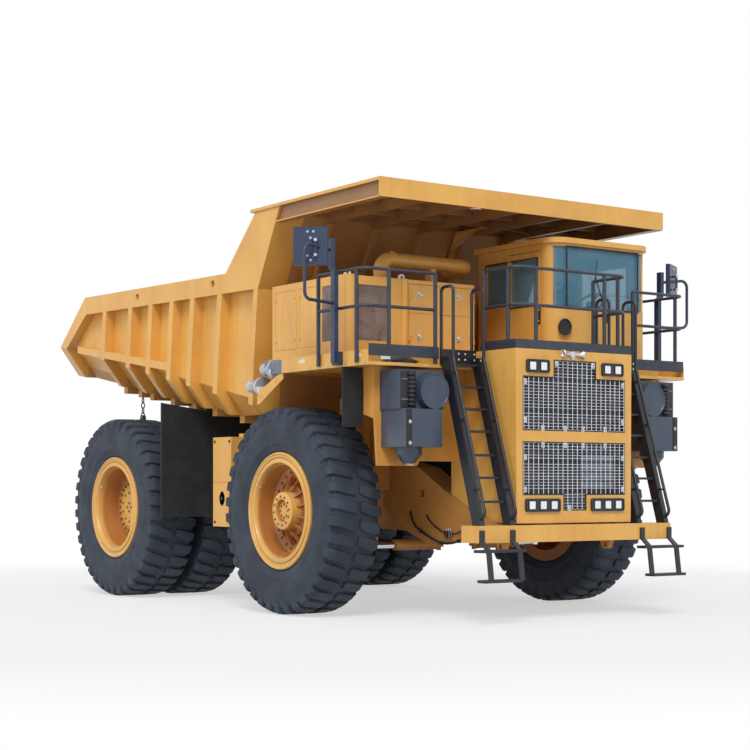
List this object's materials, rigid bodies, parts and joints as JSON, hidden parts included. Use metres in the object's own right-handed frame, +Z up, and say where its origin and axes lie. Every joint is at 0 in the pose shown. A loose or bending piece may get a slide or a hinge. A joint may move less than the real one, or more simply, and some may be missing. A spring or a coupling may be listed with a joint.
{
  "type": "mining dump truck",
  "caption": "Rigid mining dump truck with a tipping rock body and canopy, twin rear wheels, steered front wheels, a cab and electric cabinets on the front deck.",
  "frame": {"origin": "on the ground, in the middle of the truck's length and width", "axes": "+Z up, +Y towards the tail of the truck, +X towards the truck's left side"},
  "size_m": [6.3812, 10.289, 5.3268],
  "materials": {
    "black_plastic": "matte",
    "blower_red": "matte",
    "cylinder_paint": "satin",
    "dark_paint": "satin",
    "flap_rubber": "matte",
    "glass": "gloss",
    "lamp": "gloss",
    "radiator_black": "matte",
    "rod_chrome": "gloss",
    "seat_fabric": "matte",
    "steel": "satin",
    "tyre_rubber": "matte",
    "yellow_paint": "satin"
  },
  "bodies": {
    "chassis": {"air_cleaners": "dark_paint", "cab_glass": "glass", "cab_roof": "yellow_paint", "cab_shell": "yellow_paint", "control_cabinet": "yellow_paint", "dashboard": "black_plastic", "decks": "yellow_paint", "engine_block": "dark_paint", "exhaust_duct": "steel", "fender_flaps": "flap_rubber", "fenders": "yellow_paint", "front_braces": "yellow_paint", "front_bumper": "yellow_paint", "grid_blower": "blower_red", "grilles": "steel", "handrails": "dark_paint", "headlamps": "lamp", "hood": "yellow_paint", "ladders": "dark_paint", "main_frame": "yellow_paint", "mirrors": "dark_paint", "radiator": "radiator_black", "rear_axle": "yellow_paint", "seat_cushions": "seat_fabric", "seat_frame": "black_plastic", "side_tanks": "yellow_paint", "suspension_struts": "yellow_paint"},
    "steer_knuckle_left": {"steering_knuckle_left": "yellow_paint"},
    "front_wheel_left": {"front_tyre_left": "tyre_rubber", "front_rim_left": "yellow_paint"},
    "rear_wheel_left": {"rear_outer_tyre_left": "tyre_rubber", "rear_inner_tyre_left": "tyre_rubber", "rear_rim_left": "yellow_paint"},
    "steer_barrel_left": {"steering_barrel_left": "cylinder_paint"},
    "steer_rod_left": {"steering_rod_left": "rod_chrome"},
    "hoist_barrel_left": {"hoist_barrel_left": "cylinder_paint"},
    "hoist_sleeve_left": {"hoist_sleeve_left": "rod_chrome"},
    "hoist_rod_left": {"hoist_rod_left": "rod_chrome"},
    "steer_knuckle_right": {"steering_knuckle_right": "yellow_paint"},
    "front_wheel_right": {"front_tyre_right": "tyre_rubber", "front_rim_right": "yellow_paint"},
    "rear_wheel_right": {"rear_outer_tyre_right": "tyre_rubber", "rear_inner_tyre_right": "tyre_rubber", "rear_rim_right": "yellow_paint"},
    "steer_barrel_right": {"steering_barrel_right": "cylinder_paint"},
    "steer_rod_right": {"steering_rod_right": "rod_chrome"},
    "hoist_barrel_right": {"hoist_barrel_right": "cylinder_paint"},
    "hoist_sleeve_right": {"hoist_sleeve_right": "rod_chrome"},
    "hoist_rod_right": {"hoist_rod_right": "rod_chrome"},
    "track_rod": {"tie_rod": "yellow_paint"},
    "dump_body": {"body_floor": "yellow_paint", "body_sides": "yellow_paint", "body_headboard": "yellow_paint", "body_canopy": "yellow_paint", "mud_flaps": "flap_rubber", "rock_ejectors": "steel"},
    "cab_door": {"cab_door": "yellow_paint", "cab_door_glass": "glass"},
    "cabinet_door_1": {"cabinet_door_1": "yellow_paint"},
    "cabinet_door_2": {"cabinet_door_2": "yellow_paint"}
  },
  "joints": [
    {"name": "steer_right", "type": "hinge", "parent": "chassis", "child": "steer_knuckle_right", "pos_m": [-1.42, -2.105, 1.325], "axis": [0, 0, 1], "range_deg": [-35, 35]},
    {"name": "steer_left", "type": "hinge", "parent": "chassis", "child": "steer_knuckle_left", "pos_m": [1.42, -2.105, 1.325], "axis": [0, 0, 1], "range_deg": [-35, 35]},
    {"name": "tie_rod_pivot", "type": "hinge", "parent": "steer_knuckle_right", "child": "track_rod", "pos_m": [-1.42, -1.485, 0.872], "axis": [0, 0, 1], "range_deg": [-35, 35]},
    {"name": "steer_cylinder_pivot_left", "type": "hinge", "parent": "chassis", "child": "steer_barrel_left", "pos_m": [0.3, -2.505, 0.872], "axis": [0, 0, 1], "range_deg": [-1.2, 1.2]},
    {"name": "steer_cylinder_slide_left", "type": "slide", "parent": "steer_barrel_left", "child": "steer_rod_left", "axis": [1, 0, 0], "range_m": [-0.222, 0.222]},
    {"name": "front_wheel_left_spin", "type": "hinge", "parent": "steer_knuckle_left", "child": "front_wheel_left", "pos_m": [2.23, -2.105, 1.325], "axis": [1, 0, 0], "continuous": true},
    {"name": "rear_wheel_left_spin", "type": "hinge", "parent": "chassis", "child": "rear_wheel_left", "pos_m": [1.83, 2.495, 1.325], "axis": [1, 0, 0], "continuous": true},
    {"name": "steer_cylinder_pivot_right", "type": "hinge", "parent": "chassis", "child": "steer_barrel_right", "pos_m": [-0.3, -2.505, 0.872], "axis": [0, 0, 1], "range_deg": [-1.2, 1.2]},
    {"name": "steer_cylinder_slide_right", "type": "slide", "parent": "steer_barrel_right", "child": "steer_rod_right", "axis": [-1, 0, 0], "range_m": [-0.222, 0.222]},
    {"name": "front_wheel_right_spin", "type": "hinge", "parent": "steer_knuckle_right", "child": "front_wheel_right", "pos_m": [-2.23, -2.105, 1.325], "axis": [1, 0, 0], "continuous": true},
    {"name": "rear_wheel_right_spin", "type": "hinge", "parent": "chassis", "child": "rear_wheel_right", "pos_m": [-1.83, 2.495, 1.325], "axis": [1, 0, 0], "continuous": true},
    {"name": "body_tip", "type": "hinge", "parent": "chassis", "child": "dump_body", "pos_m": [0, 3.345, 2.36], "axis": [-1, 0, 0], "range_deg": [0, 48]},
    {"name": "hoist_pivot_left", "type": "hinge", "parent": "chassis", "child": "hoist_barrel_left", "pos_m": [0.84, 0.795, 1.15], "axis": [-1, 0, 0], "range_deg": [0, 22.64]},
    {"name": "hoist_stage_1_left", "type": "slide", "parent": "hoist_barrel_left", "child": "hoist_sleeve_left", "axis": [0, -0.1366, 0.9906], "range_m": [0, 1.0361]},
    {"name": "hoist_stage_2_left", "type": "slide", "parent": "hoist_sleeve_left", "child": "hoist_rod_left", "axis": [0, -0.1366, 0.9906], "range_m": [0, 1.0361]},
    {"name": "hoist_pivot_right", "type": "hinge", "parent": "chassis", "child": "hoist_barrel_right", "pos_m": [-0.84, 0.795, 1.15], "axis": [-1, 0, 0], "range_deg": [0, 22.64]},
    {"name": "hoist_stage_1_right", "type": "slide", "parent": "hoist_barrel_right", "child": "hoist_sleeve_right", "axis": [0, -0.1366, 0.9906], "range_m": [0, 1.0361]},
    {"name": "hoist_stage_2_right", "type": "slide", "parent": "hoist_sleeve_right", "child": "hoist_rod_right", "axis": [0, -0.1366, 0.9906], "range_m": [0, 1.0361]},
    {"name": "cab_door_hinge", "type": "hinge", "parent": "chassis", "child": "cab_door", "pos_m": [0.484, -3.009, 4], "axis": [0, 0, 1], "range_deg": [-65, 0]},
    {"name": "cabinet_door_1_hinge", "type": "hinge", "parent": "chassis", "child": "cabinet_door_1", "pos_m": [-1.317, -3.231, 3.8], "axis": [0, 0, 1], "range_deg": [-100, 0]},
    {"name": "cabinet_door_2_hinge", "type": "hinge", "parent": "chassis", "child": "cabinet_door_2", "pos_m": [-0.293, -3.231, 3.8], "axis": [0, 0, 1], "range_deg": [0, 100]}
  ],
  "couplings": [
    {"joint": "steer_left", "follows": "steer_right", "ratio": 1},
    {"joint": "tie_rod_pivot", "follows": "steer_right", "ratio": -1},
    {"joint": "steer_cylinder_pivot_left", "follows": "steer_right", "ratio": -0.03},
    {"joint": "steer_cylinder_slide_left", "follows": "steer_right", "m_per_rad": 0.36},
    {"joint": "steer_cylinder_pivot_right", "follows": "steer_right", "ratio": -0.03},
    {"joint": "steer_cylinder_slide_right", "follows": "steer_right", "m_per_rad": -0.36},
    {"joint": "hoist_pivot_left", "follows": "body_tip", "ratio": 0.46742},
    {"joint": "hoist_stage_1_left", "follows": "body_tip", "m_per_rad": 1.232},
    {"joint": "hoist_stage_2_left", "follows": "body_tip", "m_per_rad": 1.232},
    {"joint": "hoist_pivot_right", "follows": "body_tip", "ratio": 0.46742},
    {"joint": "hoist_stage_1_right", "follows": "body_tip", "m_per_rad": 1.232},
    {"joint": "hoist_stage_2_right", "follows": "body_tip", "m_per_rad": 1.232}
  ]
}
